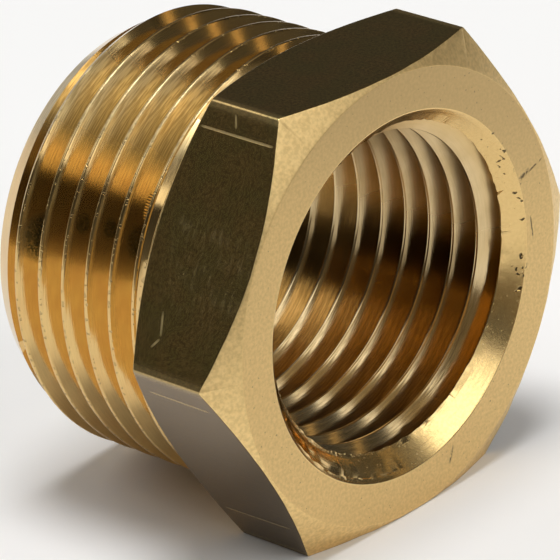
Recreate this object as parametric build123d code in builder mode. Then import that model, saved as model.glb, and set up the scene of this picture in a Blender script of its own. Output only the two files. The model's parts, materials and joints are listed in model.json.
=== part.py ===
"""Hexagon reducing bush: a 3/4 inch outside pipe thread to a 1/2 inch inside one.

The bush is turned in one piece from hexagon brass bar. It lies on one flat of
its hexagon, with its axis level along Y. The hexagon's open face looks along
-Y and the spigot points along +Y. Units are millimetres and +Z is up.
"""

import os
from math import cos, radians, tan

from build123d import *

os.makedirs("parts", exist_ok=True)

# Hexagon, the spanner grip. The bar gives its width across flats.
across_flats = 27.0
hexagon_length = 7.5

# Each end of the hexagon is faced to a flat circle, and a cone outside that
# circle takes the six points off. Its angle is measured from the face.
face_circle_dia = 26.74
corner_cone_angle = 30.0

# Spigot for the outside thread, at the thread's crest size, with a long lead
# that falls below the thread's root. The lead's angle is from the axis.
spigot_dia = 26.3
spigot_length = 12.8
lead_angle = 30.0
lead_end_dia = 23.3

# Bore for the inside thread, at the thread's crest size. A wide countersink
# opens it at the hexagon's face, and a small chamfer breaks its far edge.
bore_dia = 18.63
countersink_dia = 21.8
countersink_angle = 90.0
exit_chamfer = 0.6

# Sizes that follow from those above.
total_length = hexagon_length + spigot_length
front = -total_length / 2
shoulder = front + hexagon_length
end = total_length / 2
axis_height = across_flats / 2
corner_radius = across_flats / 2 / cos(radians(30))
cone_reach = corner_radius + 1 - face_circle_dia / 2
cone_drop = cone_reach * tan(radians(corner_cone_angle))
lead_length = (spigot_dia - lead_end_dia) / 2 / tan(radians(lead_angle))
countersink_depth = (countersink_dia - bore_dia) / 2 / tan(radians(countersink_angle / 2))

turning_axis = Axis((0, 0, axis_height), (0, 1, 0))
half_section = Plane((0, 0, axis_height), x_dir=(0, 1, 0), z_dir=(1, 0, 0))

with BuildPart() as hex_bushing:
    # The length of hexagon bar that is left full size.
    with BuildSketch(Plane((0, front, axis_height), x_dir=(1, 0, 0), z_dir=(0, 1, 0))):
        RegularPolygon(radius=axis_height, side_count=6, major_radius=False)
    extrude(amount=hexagon_length)

    # Facing and coning both ends of the bar leaves a curved edge on each flat.
    with BuildSketch(half_section):
        with BuildLine():
            Polyline(
                (front, 0),
                (front, face_circle_dia / 2),
                (front + cone_drop, face_circle_dia / 2 + cone_reach),
                (shoulder - cone_drop, face_circle_dia / 2 + cone_reach),
                (shoulder, face_circle_dia / 2),
                (shoulder, 0),
                close=True,
            )
        make_face()
    revolve(axis=turning_axis, mode=Mode.INTERSECT)

    # The spigot stands on the shoulder and ends in its lead.
    with BuildSketch(half_section):
        with BuildLine():
            Polyline(
                (shoulder, 0),
                (shoulder, spigot_dia / 2),
                (end - lead_length, spigot_dia / 2),
                (end, lead_end_dia / 2),
                (end, 0),
                close=True,
            )
        make_face()
    revolve(axis=turning_axis)

    # The bore runs right through, from the countersink to its far chamfer.
    with BuildSketch(half_section):
        with BuildLine():
            Polyline(
                (front, 0),
                (front, countersink_dia / 2),
                (front + countersink_depth, bore_dia / 2),
                (end - exit_chamfer, bore_dia / 2),
                (end, bore_dia / 2 + exit_chamfer),
                (end, 0),
                close=True,
            )
        make_face()
    revolve(axis=turning_axis, mode=Mode.SUBTRACT)

hex_bushing.part.label = "hex_bushing"
export_step(hex_bushing.part, "parts/hex_bushing.step")
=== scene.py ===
"""Looks of a brass hexagon reducing bush, one turned piece with two pipe threads.

The bush is one closed skin, laid out in rings round the turning axis. In every
section s is the distance from the hexagon's open face along the axis, r the
distance from the axis and theta the angle from +X towards +Z. Lengths are in
millimetres until the skin is made into a mesh.
"""

import json
from math import cos, hypot, pi, radians, sin, tan

import bmesh
import bpy
import numpy as np
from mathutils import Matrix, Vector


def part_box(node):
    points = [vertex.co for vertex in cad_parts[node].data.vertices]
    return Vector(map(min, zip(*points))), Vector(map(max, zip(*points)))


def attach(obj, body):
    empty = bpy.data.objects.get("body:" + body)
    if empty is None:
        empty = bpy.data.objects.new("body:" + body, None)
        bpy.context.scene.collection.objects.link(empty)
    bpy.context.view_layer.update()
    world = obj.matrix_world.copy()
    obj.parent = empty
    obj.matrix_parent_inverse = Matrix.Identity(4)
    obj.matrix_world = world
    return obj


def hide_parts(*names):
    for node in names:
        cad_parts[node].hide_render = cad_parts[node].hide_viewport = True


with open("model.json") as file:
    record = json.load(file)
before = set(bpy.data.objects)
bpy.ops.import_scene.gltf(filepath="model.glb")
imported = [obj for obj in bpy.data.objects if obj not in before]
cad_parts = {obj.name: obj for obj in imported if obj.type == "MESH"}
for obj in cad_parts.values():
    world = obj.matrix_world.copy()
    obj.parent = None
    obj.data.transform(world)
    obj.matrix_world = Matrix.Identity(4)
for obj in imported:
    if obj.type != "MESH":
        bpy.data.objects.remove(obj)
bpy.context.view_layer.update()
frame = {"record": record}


# ---------------------------------------------------------------------------
# The bar. The bush is turned from hexagon brass bar that was drawn through a
# die. Its six flats keep the drawn skin, browner and duller than cut metal,
# with fine lines and rubs along the bar. Its corners are slightly round.

MM = 0.001
low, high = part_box("hex_bushing")
mounts = {mount["name"]: mount for mount in frame["record"]["mounts"]}

across_flats = (high[2] - low[2]) / MM
total_length = (high[1] - low[1]) / MM
axis_height = across_flats / 2
hexagon_length = 7.5
corner_round = 0.20

# Both ends of the hexagon are coned at 30 degrees, down to this circle, which
# gives each flat its curved ends.
face_circle = 13.37
cone_slope = tan(radians(30))

# Ring angles: an even fan, with a few more at each corner of the hexagon.
even_rings = 252
corner_rings = (0.14, 0.28, 0.42)
fan = set(np.round(np.arange(even_rings) * 360 / even_rings, 6))
for corner in range(0, 360, 60):
    fan.update((corner + side * extra) % 360 for extra in corner_rings for side in (-1, 1))
theta = np.radians(sorted(fan))
rings = len(theta)

places = []
faces = []
face_finish = []
random = np.random.default_rng(7)


def row(r, s):
    """One closed row round the axis: the radius and the distance along it at each ring."""
    return np.array([np.broadcast_to(r, rings), np.broadcast_to(s, rings)], float)


def eased(before, corner, after, cut, points=4):
    """Rows that turn a corner of the section on a small curve."""
    to_before = before - corner
    to_after = after - corner
    reach = np.minimum(cut, 0.45 * np.minimum(np.hypot(*to_before), np.hypot(*to_after)))
    first = corner + to_before / np.hypot(*to_before) * reach
    last = corner + to_after / np.hypot(*to_after) * reach
    return [(1 - step) ** 2 * first + 2 * step * (1 - step) * corner + step**2 * last
            for step in np.linspace(0, 1, points)]


def between(first, last, count):
    """Rows spread evenly between two rows, without the two themselves."""
    return [first + (last - first) * step / (count + 1) for step in range(1, count + 1)]


def skin(rows, finish):
    """Adds a band of the surface through rows, closed round the axis."""
    start = len(places)
    for r, s in rows:
        places.extend(zip(r * np.cos(theta), s, r * np.sin(theta)))
    for a in range(start, start + (len(rows) - 1) * rings, rings):
        for ring in range(rings):
            after = (ring + 1) % rings
            faces.append((a + ring, a + after, a + rings + after, a + rings + ring))
            face_finish.append(finish)


def wander(scale, smooth):
    """A random value for each ring, smoothed over its neighbours, of about the given size."""
    rough = random.normal(size=rings)
    kernel = np.exp(-0.5 * (np.arange(-3 * smooth, 3 * smooth + 1) / smooth) ** 2)
    value = np.convolve(np.concatenate([rough[-3 * smooth:], rough, rough[:3 * smooth]]), kernel, "valid")
    return scale * value / value.std()


def hexagon_radius(angle):
    """Radius of the bar's outline, with its corners rounded."""
    from_corner = (angle + pi / 6) % (pi / 3) - pi / 6
    flat = across_flats / 2 / np.cos(pi / 6 - np.abs(from_corner))
    centre = (across_flats / 2 - corner_round) / cos(pi / 6)
    side = centre * np.sin(from_corner)
    rounded = centre * np.cos(from_corner) + np.sqrt(np.clip(corner_round**2 - side**2, 0, None))
    return np.where(np.abs(side) < corner_round * sin(pi / 6), rounded, flat)


class Value:
    """One output of a shader node. Sums on it add Math nodes, so a finish reads as a formula."""

    def __init__(self, finish, socket):
        self.finish = finish
        self.socket = socket

    def maths(self, operation, *terms):
        return self.finish.node("Math", dict(enumerate(terms)), operation=operation)

    def __add__(self, other):
        return self.maths("ADD", self, other)

    def __sub__(self, other):
        return self.maths("SUBTRACT", self, other)

    def __rsub__(self, other):
        return self.maths("SUBTRACT", other, self)

    def __mul__(self, other):
        return self.maths("MULTIPLY", self, other)

    def __truediv__(self, other):
        return self.maths("DIVIDE", self, other)

    def __rtruediv__(self, other):
        return self.maths("DIVIDE", other, self)

    def __pow__(self, other):
        return self.maths("POWER", self, other)

    def __or__(self, other):
        return self.maths("MAXIMUM", self, other)

    def __abs__(self):
        return self.maths("ABSOLUTE", self)

    def step(self, low_end, high_end):
        """0 below one value and 1 above the other, with a smooth rise between."""
        ends = {"Value": self, "From Min": low_end, "From Max": high_end}
        return self.finish.node("MapRange", ends, interpolation_type="SMOOTHSTEP")

    __radd__ = __add__
    __rmul__ = __mul__


class Finish:
    """A metal finish: its material, the place on the bush in millimetres, and a way to add nodes."""

    def __init__(self, name):
        self.material = bpy.data.materials.new(name)
        self.material.use_nodes = True
        self.tree = self.material.node_tree
        self.metal = self.tree.nodes["Principled BSDF"]
        self.metal.inputs["Metallic"].default_value = 1.0
        where = self.node("TexCoord", output="Object")
        scaled = self.node("VectorMath", {0: where, "Scale": 1 / MM}, operation="SCALE")
        centre = (0, low[1] / MM, axis_height)
        self.place = self.node("VectorMath", {0: scaled, 1: centre}, operation="SUBTRACT")
        self.x, self.s, self.z = (self.node("SeparateXYZ", {"Vector": self.place}, axis) for axis in "XYZ")
        self.r = (self.x * self.x + self.z * self.z) ** 0.5

    def node(self, kind, sockets=None, output=0, **settings):
        """Adds a node: its settings first, then the value or the link of each socket."""
        added = self.tree.nodes.new("ShaderNode" + kind)
        for name, setting in settings.items():
            setattr(added, name, setting)
        for name, value in (sockets or {}).items():
            if isinstance(value, Value):
                self.tree.links.new(value.socket, added.inputs[name])
            else:
                added.inputs[name].default_value = value
        return Value(self, added.outputs[output])

    def noise(self, vector, scale, detail=2.0):
        return self.node("TexNoise", {"Vector": vector, "Scale": scale, "Detail": detail}, "Fac")

    def drawn_out(self, x, s, z):
        """The place with each direction scaled, for marks drawn out along one of them."""
        return self.node("VectorMath", {0: self.place, 1: (x, s, z)}, operation="MULTIPLY")

    def turned(self, profile, lines, round_axis):
        """Fine tool lines round the axis: so many to the millimetre of the profile, and
        so many changes along each radian."""
        around = round_axis / self.r
        return self.noise(self.node("CombineXYZ", {"X": self.x * around, "Y": profile * lines,
                                                   "Z": self.z * around}), 1.0, 2.0)

    def turn_from(self, start):
        """Degrees round the axis from a starting angle."""
        ahead = self.x * cos(radians(start)) + self.z * sin(radians(start))
        aside = self.z * cos(radians(start)) - self.x * sin(radians(start))
        return self.maths_of("ARCTAN2", aside, ahead) * (180 / pi)

    def maths_of(self, operation, *terms):
        return self.node("Math", dict(enumerate(terms)), operation=operation)

    def line(self, u, v, start, end, width):
        """1 on a straight scratch between two places of a surface, fading at its ends."""
        length = hypot(end[0] - start[0], end[1] - start[1])
        du, dv = (end[0] - start[0]) / length, (end[1] - start[1]) / length
        along = (u - start[0]) * du + (v - start[1]) * dv
        aside = abs((u - start[0]) * dv - (v - start[1]) * du)
        fade = min(0.5, length / 3)
        ends = along.step(0, fade) * (1 - along.step(length - fade, length))
        return (1 - aside.step(0.2 * width, width)) * ends

    def spot(self, u, v, at, half_long, half_wide):
        """1 in the middle of a soft oval, 0 outside it."""
        across = (u - at[0]) / half_long
        down = (v - at[1]) / half_wide
        return 1 - (across * across + down * down).step(0.3, 1.0)

    def mix(self, part, first, second):
        ends = {key: colour if isinstance(colour, Value) else (*colour, 1)
                for key, colour in ((6, first), (7, second))}
        return self.node("Mix", {0: part, **ends}, 2, data_type="RGBA")

    def set(self, name, value):
        if isinstance(value, Value):
            self.tree.links.new(value.socket, self.metal.inputs[name])
        else:
            self.metal.inputs[name].default_value = value

    def relief(self, height):
        """Bump from a height in millimetres."""
        self.set("Normal", self.node("Bump", {"Height": height, "Distance": MM, "Strength": 1.0}))


skin_brown = (0.70, 0.47, 0.17)
skin_olive = (0.55, 0.415, 0.145)
# Painted shade for the flats below the axis, which face the shaded floor.
painted_shade_low_tint = (0.185, 0.130, 0.072)
rubbed = (0.66, 0.52, 0.28)

drawn_skin = Finish("drawn_bar_skin")
cloud = drawn_skin.noise(drawn_skin.place, 0.5, 3.0)
grain = drawn_skin.noise(drawn_skin.place, 6.0, 2.0)
drawn_lines = drawn_skin.noise(drawn_skin.drawn_out(8, 0.3, 8), 1.0, 3.0)


def on_flat(facing):
    """The place across the flat that faces one angle, and 1 on that flat alone."""
    c, s = cos(radians(facing)), sin(radians(facing))
    out = drawn_skin.x * c + drawn_skin.z * s
    return drawn_skin.z * c - drawn_skin.x * s, out.step(across_flats / 2 - 0.12, across_flats / 2 - 0.05)


# Rubs and scratches: (s, across) ends on the flat and their width.
near_flat_rubs = (((6.6, -6.24), (0.9, -6.23), 0.09), ((4.3, -7.5), (3.9, -6.5), 0.09),
                  ((5.5, 6.3), (4.95, 5.6), 0.10), ((4.95, 5.65), (5.35, 4.0), 0.10))
low_flat_rubs = (((6.1, -6.0), (1.3, -5.95), 0.12), ((6.4, 5.25), (1.0, 5.05), 0.10))
rub = 0
for facing, marks in ((150, near_flat_rubs), (210, low_flat_rubs)):
    across, here = on_flat(facing)
    on_this = 0
    for start, end, width in marks:
        on_this = drawn_skin.line(drawn_skin.s, across, start, end, width) | on_this
    rub = on_this * here | rub

# Faint upright chatter rubs on the lower half of the near flat.
across, here = on_flat(150)
uneven = drawn_skin.node("CombineXYZ", {"X": drawn_skin.s * 4.0, "Y": across * 0.9, "Z": 3.0})
chatter = drawn_skin.noise(uneven, 1.0, 2.0).step(0.45, 0.75) * here * across.step(-2.6, -0.6)
chatter = chatter * (1 - across.step(2.5, 6.0)) * (1 - drawn_skin.s.step(5.6, 6.6))
corner_wear = drawn_skin.r.step(15.28, 15.48)
# The flats below the axis are tinted darker and greyer as painted shade.
painted_shade_below_axis = 1 - drawn_skin.z.step(-0.3, 0.3)

tint = drawn_skin.mix(cloud.step(0.35, 0.65), skin_brown, skin_olive)
tint = drawn_skin.mix(painted_shade_below_axis, tint, painted_shade_low_tint)
tint = drawn_skin.mix(grain.step(0.3, 0.75) * 0.6, tint, (0.22, 0.15, 0.06))
tint = drawn_skin.mix((rub * 0.6 | chatter * 0.22 | corner_wear * 0.22), tint, rubbed)
drawn_skin.set("Base Color", tint)
drawn_skin.set("Roughness", 0.16 + 0.09 * cloud + 0.22 * (rub | chatter * 0.35 | corner_wear * 0.5))
drawn_skin.relief(drawn_lines * 0.004 + grain * 0.002 - rub * 0.01)

bar = hexagon_radius(theta)
front_cut = (bar - face_circle) * cone_slope + wander(0.014, 1)
back_cut = hexagon_length - (bar - face_circle) * cone_slope
front_edge = eased(row(face_circle, 0), row(bar, front_cut), row(bar, front_cut + 3), 0.07, 5)
back_edge = eased(row(bar, back_cut - 3), row(bar, back_cut), row(face_circle, hexagon_length), 0.07, 5)
front_support = front_edge[-1] + row(0, 0.15)
back_support = back_edge[0] - row(0, 0.15)
skin(front_edge[2:] + [front_support] + between(front_support, back_support, 5)
     + [back_support] + back_edge[:3], drawn_skin)


# ---------------------------------------------------------------------------
# The coned corners and the faced ends. The cones are cut with a form tool, so
# they are brighter and coarser than the flats. The open face is faced square,
# a dull sandy gold, with pits and scratches from lying loose in a bin.

cut_brass = (0.75, 0.52, 0.215)
dirt = (0.10, 0.075, 0.04)

coned = Finish("coned_corner")
grain = coned.noise(coned.place, 4.5, 3.0)
fleck = coned.noise(coned.place, 2.4, 1.0)
coned.set("Base Color", coned.mix(grain.step(0.3, 0.7), (0.74, 0.53, 0.23), (0.90, 0.66, 0.30)))
coned.set("Roughness", 0.36 + 0.22 * fleck)
coned.relief(grain * 0.009)

faced = Finish("faced_end")
grain = faced.noise(faced.place, 5.0, 2.0)
speck = faced.noise(faced.place, 5.5, 0.0).step(0.77, 0.83)
# The face's tint darkens towards the top and a little towards the right.
darker_to_top_right = (0.9 * faced.z + 0.35 * faced.x).step(3, 12)


def mouth_pits(finish):
    """Black pits along the right-hand edge of the countersink, bent as chips leave them."""
    bend = finish.node("TexNoise", {"Vector": finish.place, "Scale": 2.5, "Detail": 0.0}, "Color")
    bent = finish.node("VectorMath", {0: finish.place, 1: bend}, operation="ADD")
    pit = 1 - finish.node("TexVoronoi", {"Vector": bent, "Scale": 1.5}, "Distance").step(0.12, 0.24)
    in_band = finish.r.step(10.30, 10.45) * (1 - finish.r.step(10.95, 11.15))
    return pit * in_band * (1 - abs(finish.turn_from(12)).step(28, 36))


pit = mouth_pits(faced)

# Deeper scratches: (x, z) ends on the face and their width.
face_scratches = (((10.4, 3.3), (11.5, 3.75), 0.20), ((11.2, 3.5), (12.7, 4.0), 0.09),
                  ((3.6, -10.7), (3.15, -11.95), 0.13), ((11.5, -0.9), (11.3, 1.0), 0.08))
scratch = 0
for start, end, width in face_scratches:
    scratch = faced.line(faced.x, faced.z, start, end, width) | scratch
broken = faced.noise(faced.place, 4.0, 1.0).step(0.36, 0.52)
scratch = scratch * broken

tint = faced.mix(grain.step(0.25, 0.75), (0.69, 0.49, 0.21), (0.83, 0.60, 0.275))
tint = faced.mix(darker_to_top_right * 0.42, tint, (0.42, 0.30, 0.15))
tint = faced.mix((speck * 0.5 | pit | scratch * 0.85), tint, dirt)
faced.set("Base Color", tint)
faced.set("Roughness", 0.42 + 0.18 * grain)
faced.relief(grain * 0.009 - pit * 0.06 - scratch * 0.03)

face_row = row(face_circle - 0.3, 0)
face_edge = eased(row(face_circle - 1, 0), row(face_circle, 0), row(bar, front_cut), 0.05, 4)
back_face_edge = eased(row(bar, back_cut), row(face_circle, hexagon_length),
                       row(face_circle - 1, hexagon_length), 0.05, 4)
skin([face_row] + face_edge[:2], faced)
skin(face_edge[1:] + between(face_edge[-1], front_edge[0], 3) + front_edge[:3], coned)
skin(back_edge[2:] + between(back_edge[-1], back_face_edge[0], 3) + back_face_edge[:2], coned)


# ---------------------------------------------------------------------------
# The spigot. It is turned down behind the hexagon and threaded with a die to
# a 3/4 inch parallel pipe thread, 14 to the inch, right-handed, deeper and with
# keener crests than standard. The die tore the metal near the top; that patch is
# rougher, and its duller, greyer tint is a painted reflection.

pitch = 25.4 / 14
thread_depth = 0.75 * pitch
root_round = 0.10 * pitch
flank = radians(27.5)
flank_base = root_round * cos(flank)
root_apex = thread_depth + root_round * (1 / sin(flank) - 1)
crest_half = pitch / 2 - root_apex * tan(flank)
crest_soft = 0.035

male_crest = mounts["male_thread"]["dims"]["r_mm"]
lead_end = 11.65
lead_slope = tan(radians(30))
crest_at = (14.076, radians(147.4))
runout = (7.75, 8.55)
collar_fillet = 0.12
tip_cut = 0.07

die_cut = Finish("die_cut_thread")
streaks = die_cut.turned(die_cut.r, 18, 10)
cloud = die_cut.noise(die_cut.place, 0.6, 2.0)
fleck = die_cut.noise(die_cut.place, 8.0, 1.0)
turn = die_cut.turn_from(150)
round_mm = turn * radians(male_crest)
flanks = 1 - die_cut.r.step(male_crest - 0.10, male_crest - 0.05)
# A patch near the top: rougher where the die tore it, and tinted duller and greyer, with darker streaks, as a
# painted reflection.
torn_patch_and_painted_reflection = 1 - abs(turn + 30).step(9, 20)

# Smears: (round, s) in mm from the near corner's middle, half length and half width.
smears = (((2.7, 16.85), 1.9, 0.75), ((1.2, 9.25), 1.4, 0.45), ((1.1, 12.6), 0.8, 0.30),
          ((0.9, 10.9), 0.8, 0.28), ((-5.1, 13.2), 0.22, 0.22))
smear = 0
for at, half_long, half_wide in smears:
    smear = die_cut.spot(round_mm, die_cut.s, at, half_long, half_wide) | smear
smear = smear * flanks * (0.55 + 0.45 * fleck.step(0.3, 0.6))
nick = die_cut.noise(die_cut.place, 4.5, 0.0).step(0.64, 0.70) * (1 - flanks)

# A short run of tool chatter beads, a fixed angle apart, at the foot of the last crest.
bead_spacing = 0.8
ripple = die_cut.maths_of("SINE", turn * (2 * pi / bead_spacing))
beads = ripple * die_cut.spot(round_mm, die_cut.s, (-1.1, 9.35), 1.1, 0.16)

tint = die_cut.mix(cloud.step(0.3, 0.75), cut_brass, (0.72, 0.47, 0.19))
# Painted reflection: the torn patch is tinted duller and greyer, with darker streaks.
tint = die_cut.mix(torn_patch_and_painted_reflection * 0.7, tint, (0.54, 0.44, 0.24))
tint = die_cut.mix(streaks.step(0.38, 0.62) * (0.12 + 0.6 * torn_patch_and_painted_reflection), tint, (0.27, 0.19, 0.08))
tint = die_cut.mix(smear * 0.9, tint, (0.05, 0.055, 0.03))
tint = die_cut.mix(nick * 0.35, tint, dirt)
die_cut.set("Base Color", tint)
die_cut.set("Roughness", 0.09 + 0.05 * cloud + 0.18 * torn_patch_and_painted_reflection + 0.20 * smear)
die_cut.relief(streaks * (0.0025 + 0.004 * torn_patch_and_painted_reflection) + beads * 0.008 - nick * 0.01)


def below_crest(turns):
    """Depth of the 55 degree thread form below its flat crest, turns being pitches from one."""
    across = np.abs((turns + 0.5) % 1 - 0.5) * pitch
    rise = (across - crest_half) / tan(flank)
    slope = (rise + np.sqrt(rise**2 + crest_soft**2)) / 2
    from_root = pitch / 2 - across
    round_bottom = np.sqrt(np.clip(root_round**2 - from_root**2, 0, None))
    return np.where(from_root < flank_base, root_apex - root_round / sin(flank) + round_bottom, slope)


# Small dents that the crests took: angle, s, length and depth.
crest_dents = ((127, 14.2, 0.22, 0.05), (148, 11.9, 0.2, 0.04), (150, 13.1, 0.2, 0.04),
               (155, 15.9, 0.22, 0.06), (142, 15.4, 0.2, 0.04), (169, 15.7, 0.25, 0.06))


def male_form(angle, s):
    """Radius of the thread, which rises out of the plain collar over a short runout."""
    turns = (s - crest_at[0]) / pitch + (angle - crest_at[1]) / (2 * pi)
    out = np.clip((s - runout[0]) / (runout[1] - runout[0]), 0, 1)
    depth = below_crest(turns) * out * out * (3 - 2 * out)
    for at, along, length, deep in crest_dents:
        away = (angle - radians(at) + pi) % (2 * pi) - pi
        near = np.exp(-((away * male_crest / length) ** 2) - ((s - along) / 0.35) ** 2)
        depth = np.maximum(depth, deep * near)
    return male_crest - depth


def lead_cone(angle, s):
    return lead_end + (total_length - s) * lead_slope


def helix_skin(form, cut, kept, start_s, end_s, steps, first_turn, finish_of, lip=None):
    """Adds a threaded band whose rows climb with the thread, cut square at both ends.

    kept picks between the thread's form and a cone that cuts it. Wherever the two
    meet, the nearest row is slid onto the meeting line, so that the edge is crisp.
    """
    turns = int((end_s - start_s) / pitch) + 3
    along = np.array([turn + step for turn in range(turns) for step in steps])
    angle = np.append(theta, 2 * pi)[:, None]
    base = start_s - ((start_s - first_turn) / pitch % 1) * pitch
    s = np.clip(base + pitch * (along[None, :] - angle / (2 * pi)), start_s, end_s)
    fine = np.linspace(start_s, end_s, 1600)
    met = np.zeros(s.shape, bool)
    for ring, at_angle in enumerate(angle[:, 0]):
        apart = form(at_angle, fine) - cut(at_angle, fine)
        free = (s[ring] > start_s) & (s[ring] < end_s)
        for at in np.flatnonzero(apart[:-1] * apart[1:] < 0):
            meeting = fine[at] + apart[at] / (apart[at] - apart[at + 1]) * (fine[at + 1] - fine[at])
            near = np.argmin(np.where(free, np.abs(s[ring] - meeting), np.inf))
            if abs(s[ring, near] - meeting) < 0.45:
                s[ring, near] = meeting
                met[ring, near] = True
                free[:near + 1] = False
    r = kept(form(angle, s), cut(angle, s))
    if lip is not None:
        r = r - met * (s < 1.7) * lip(angle)
    start = len(places)
    count = s.shape[1]
    places.extend(zip((r * np.cos(angle)).ravel(), s.ravel(), (r * np.sin(angle)).ravel()))
    for ring in range(len(angle) - 1):
        for step in range(count - 1):
            if s[ring, step + 1] == start_s and s[ring + 1, step + 1] == start_s:
                continue
            if s[ring, step] == end_s and s[ring + 1, step] == end_s:
                continue
            a = start + ring * count + step
            faces.append((a, a + count, a + count + 1, a + 1))
            corners = slice(ring, ring + 2), slice(step, step + 2)
            face_finish.append(finish_of(r[corners].mean(), s[corners].mean()))


# The rows of one turn, in pitches from the crest: close where the flanks end at the
# crest and at the round root, and none on the straight flanks between.
edge = crest_half / pitch
root = 0.5 - flank_base / pitch
half_turn = [0, 0.6 * edge, edge, edge + 0.014, edge + 0.035, root - 0.02, root + 0.012, 0.47]
male_steps = half_turn + [0.5] + [1 - step for step in reversed(half_turn[1:])]

collar_turn = eased(row(face_circle, hexagon_length), row(male_crest, hexagon_length),
                    row(male_crest, hexagon_length + 1), collar_fillet, 4)
tip_s = total_length - tip_cut * cos(radians(30))
skin(back_face_edge[1:] + collar_turn, coned)
helix_skin(male_form, lead_cone, np.minimum, collar_turn[-1][1][0], tip_s, male_steps,
           crest_at[0] + pitch * crest_at[1] / (2 * pi), lambda r, s: die_cut)


# ---------------------------------------------------------------------------
# The bore. It is drilled, countersunk at 90 degrees from the hexagon's face
# and tapped right through with a 1/2 inch parallel pipe thread of the same
# pitch, which leaves a ragged lip at the countersink. A band along one side
# is darkened as painted shade.

female_crest = mounts["female_thread"]["dims"]["r_mm"]
sink_radius = 10.9
exit_chamfer = 0.6
groove_at = 1.49
bore_end_cut = 0.05

sunk = Finish("countersunk_mouth")
lines = sunk.turned(sunk.s, 12, 3)
ridges = sunk.turned(sunk.s, 6, 0.8)
grain = sunk.noise(sunk.place, 6.0, 2.0)
ridged = 1 - abs(sunk.turn_from(-115)).step(35, 70)
pit = mouth_pits(sunk)
tint = sunk.mix(grain.step(0.3, 0.8), (0.79, 0.56, 0.24), cut_brass)
sunk.set("Base Color", sunk.mix(pit, tint, dirt))
sunk.set("Roughness", 0.16 + 0.16 * grain)
torn_lip = sunk.noise(sunk.place, 7.0, 1.0).step(0.42, 0.62) * sunk.s.step(1.22, 1.45)
sunk.relief(lines * 0.004 + ridges * (0.003 + 0.014 * ridged) + grain * 0.002 + torn_lip * 0.03 - pit * 0.06)

tapped = Finish("tapped_thread")
streaks = tapped.turned(tapped.r, 10, 7)
cloud = tapped.noise(tapped.place, 0.6, 2.0)
# Round the bore, in degrees from +X: a satin upper side, a band of painted shade
# below it and a brushed lower side.
turn = tapped.turn_from(0)
satin = 1 - abs(turn - 44).step(40, 60)
brushed = 1 - abs(turn + 75).step(30, 55)
painted_shade_band = (1 - abs(turn + 22).step(6, 22)) * tapped.s.step(2.0, 4.0)
tint = tapped.mix(cloud.step(0.3, 0.75), (0.76, 0.58, 0.32), (0.69, 0.51, 0.26))
tint = tapped.mix(streaks.step(0.35, 0.65) * (0.15 + 0.35 * brushed), tint, (0.38, 0.26, 0.11))
# Painted shade: a dark band along the bore, below its satin side.
tint = tapped.mix(painted_shade_band * (0.35 + 0.4 * cloud), tint, (0.12, 0.08, 0.035))
tapped.set("Base Color", tapped.mix(tapped.s.step(1.3, 2.2), (0.77, 0.54, 0.23), tint))
tapped.set("Roughness", 0.09 + 0.05 * cloud + 0.18 * satin + 0.03 * brushed)
tapped.relief(streaks * 0.004)

ragged = np.abs(wander(0.05, 1))


def tap_lip(angle):
    return np.interp(angle, np.append(theta, 2 * pi), np.append(ragged, ragged[0]))


def female_form(angle, s):
    return female_crest + below_crest((s - groove_at) / pitch + angle / (2 * pi) - 0.5)


def bore_cones(angle, s):
    """The countersink at the hexagon's face and the small chamfer at the free end."""
    return np.maximum(sink_radius - s, female_crest + exit_chamfer - (total_length - s))


def bore_finish(r, s):
    return sunk if s < sink_radius - female_crest and abs(r - (sink_radius - s)) < 0.045 else tapped


half_bore = [0, edge, edge + 0.03, root - 0.02, root + 0.02]
female_steps = half_bore + [0.47, 0.5, 0.53] + [1 - step for step in reversed(half_bore[1:])]
sink_edge = eased(row(sink_radius + 1, 0), row(sink_radius, 0), row(sink_radius - 1, 1), 0.05, 4)
bore_end = total_length - bore_end_cut
helix_skin(female_form, bore_cones, np.maximum, sink_edge[-1][1][0], bore_end, female_steps,
           groove_at + pitch / 2, bore_finish, tap_lip)

inner_face = sink_edge[0] + row(0.15, 0)
skin(sink_edge[::-1], sunk)
skin([sink_edge[0], inner_face] + between(inner_face, face_row, 2) + [face_row], faced)

# The free end, faced square between the lead and the bore.
bore_row = row(np.maximum(female_form(theta, bore_end), bore_cones(theta, bore_end)), bore_end)
end_outer = row(lead_end - tip_cut, total_length)
end_inner = row(bore_row[0] + bore_end_cut, total_length)
tip_turn = eased(row(lead_cone(0, tip_s), tip_s), row(lead_end, total_length), end_outer, 1.0, 4)
skin([row(lead_cone(0, tip_s), tip_s)] + tip_turn[1:3] + [end_outer]
     + between(end_outer, end_inner, 2) + [end_inner, bore_row], faced)


# ---------------------------------------------------------------------------
# The bush in one piece. The bands are joined into one closed skin, which
# rides on the bush's body and stands for its plain solid.

mesh = bpy.data.meshes.new("bush_skin")
points = np.array(places) * MM + np.array([0, low[1], axis_height * MM])
mesh.from_pydata(points.tolist(), [], faces)
finishes = list(dict.fromkeys(face_finish))
mesh.polygons.foreach_set("material_index", [finishes.index(finish) for finish in face_finish])
for finish in finishes:
    mesh.materials.append(finish.material)

joined = bmesh.new()
joined.from_mesh(mesh)
bmesh.ops.remove_doubles(joined, verts=joined.verts, dist=2e-7)
bmesh.ops.dissolve_degenerate(joined, edges=joined.edges, dist=1e-7)
bmesh.ops.recalc_face_normals(joined, faces=joined.faces)
joined.to_mesh(mesh)
joined.free()
mesh.polygons.foreach_set("use_smooth", [True] * len(mesh.polygons))
mesh.set_sharp_from_angle(angle=radians(35))

bush = bpy.data.objects.new("threaded_hex_bushing", mesh)
bpy.context.scene.collection.objects.link(bush)
flat_faces = bush.modifiers.new("flat_faces_stay_flat", "WEIGHTED_NORMAL")
flat_faces.keep_sharp = True
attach(bush, "root")
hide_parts("hex_bushing")


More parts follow.
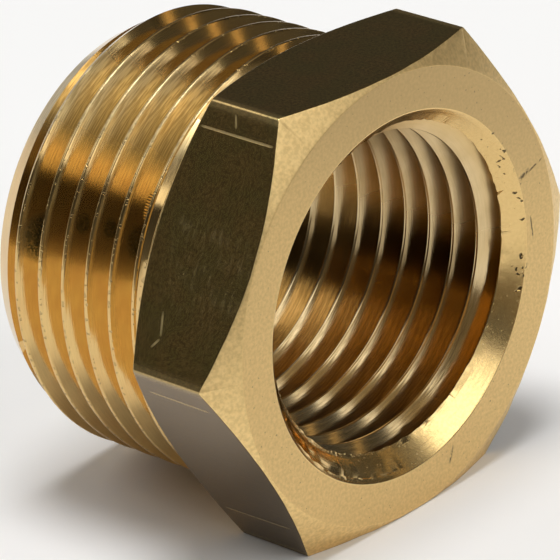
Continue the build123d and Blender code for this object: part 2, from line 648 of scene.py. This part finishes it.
# ---------------------------------------------------------------------------
# The studio. A pale floor, a dim room above it, softboxes in front and behind,
# a warm strip light, and two dark cards, low in front and low at the right.

floor_size = 1.5
floor_mesh = bpy.data.meshes.new("floor")
floor_mesh.from_pydata([(x * floor_size, y * floor_size, 0) for x, y in ((-1, -1), (1, -1), (1, 1), (-1, 1))],
                       [], [(0, 1, 2, 3)])
floor = bpy.data.objects.new("floor", floor_mesh)
bpy.context.scene.collection.objects.link(floor)
floor_finish = Finish("pale_floor")
floor_finish.set("Metallic", 0.0)
floor_finish.set("Roughness", 0.9)
floor_finish.set("Specular IOR Level", 0.0)
floor_finish.set("Base Color", (0.93, 0.93, 0.93, 1))
floor_mesh.materials.append(floor_finish.material)

world = bpy.data.worlds.new("studio")
bpy.context.scene.world = world
world.use_nodes = True
tree = world.node_tree
background = tree.nodes["Background"]
where = tree.nodes.new("ShaderNodeTexCoord")
apart = tree.nodes.new("ShaderNodeSeparateXYZ")
tree.links.new(where.outputs["Generated"], apart.inputs[0])
sky = tree.nodes.new("ShaderNodeValToRGB")
tree.links.new(apart.outputs["Z"], sky.inputs[0])
# Height in the room and its brightness there.
stops = ((0.0, 0.40), (sin(radians(2)), 0.28), (sin(radians(9)), 0.09), (sin(radians(33)), 0.035),
         (sin(radians(45)), 0.22), (sin(radians(70)), 0.22))
while len(sky.color_ramp.elements) < len(stops):
    sky.color_ramp.elements.new(0.5)
for element, (at, level) in zip(sky.color_ramp.elements, stops):
    element.position = at
    element.color = (level / 2, level / 2 * 0.95, level / 2 * 0.85, 1)
tree.links.new(sky.outputs[0], background.inputs["Color"])
background.inputs["Strength"].default_value = 2.0


def direction(azimuth, elevation):
    """Unit vector from the bush: azimuth from -Y towards +X."""
    a, e = radians(azimuth), radians(elevation)
    return np.array([sin(a) * cos(e), -cos(a) * cos(e), sin(e)])


def panel(name, corners, radiance, colour=(1, 1, 1)):
    """A flat glowing panel, or a dark card where it doesn't glow, that the camera looks past."""
    shape = bpy.data.meshes.new(name)
    shape.from_pydata([tuple(corner) for corner in corners], [], [tuple(range(len(corners)))])
    thing = bpy.data.objects.new(name, shape)
    bpy.context.scene.collection.objects.link(thing)
    thing.visible_camera = False
    glow = bpy.data.materials.new(name)
    glow.use_nodes = True
    glow.node_tree.nodes.clear()
    light = glow.node_tree.nodes.new("ShaderNodeEmission")
    light.inputs["Strength"].default_value = radiance
    light.inputs["Color"].default_value = (*colour, 1)
    out = glow.node_tree.nodes.new("ShaderNodeOutputMaterial")
    glow.node_tree.links.new(light.outputs[0], out.inputs[0])
    shape.materials.append(glow)


lamp_distance = 0.6


def softbox(name, corners, radiance, colour=(1, 1, 1)):
    """A panel whose corners stand in given directions, azimuth and elevation, from the bush."""
    centre = np.array([0, 0, axis_height * MM])
    panel(name, [direction(*corner) * lamp_distance + centre for corner in corners], radiance, colour)


softbox("front_softbox_low", ((1, 8), (12.5, 9), (14, 27), (-30, 30)), 1.5)
softbox("front_softbox_gap", ((13, 10), (26.5, 10), (29.5, 27), (14.5, 27)), 0.32, (1, 0.8, 0.5))
softbox("front_softbox_side", ((27, 10), (33, 10), (35, 27), (30, 27)), 1.3)
softbox("front_softbox_high", ((-30, 30.2), (34, 30.2), (37, 52), (-30, 52)), 2.4)
softbox("back_softbox", ((-122, 34), (-122, 58), (171, 58), (171, 44), (-150, 37)), 1.5)
softbox("back_softbox_low", ((-158, 3), (-158, 30), (158, 30), (158, 3)), 0.9)
softbox("strip_light", ((46.5, 12), (49, 12), (67.5, 38), (63, 38)), 0.9, (1, 0.72, 0.35))
softbox("side_card", ((56, -1), (100, -1), (100, 9), (56, 9)), 0.06)
card_y, card_left, card_right, card_top = -0.075, -0.085, 0.050, 0.025
panel("dark_card", ((card_left, card_y, 0), (card_right, card_y, 0), (card_right, card_y, card_top),
                    (card_left, card_y, card_top)), 0.15, (1, 0.82, 0.55))

overhead = bpy.data.objects.new("overhead", bpy.data.lights.new("overhead", "SUN"))
overhead.data.energy = 1.8
overhead.data.angle = radians(26)
bpy.context.scene.collection.objects.link(overhead)

camera = bpy.data.objects.new("camera", bpy.data.cameras.new("camera"))
bpy.context.scene.collection.objects.link(camera)
camera.data.sensor_width = 36.0
camera.data.lens = 345.3
camera.data.clip_start = 0.01
camera.location = (-0.20226, -0.19360, 0.14287)
camera.rotation_euler = (radians(64.869), radians(3.582), radians(-48.040))
bpy.context.scene.camera = camera
bpy.context.scene.view_settings.view_transform = "Standard"
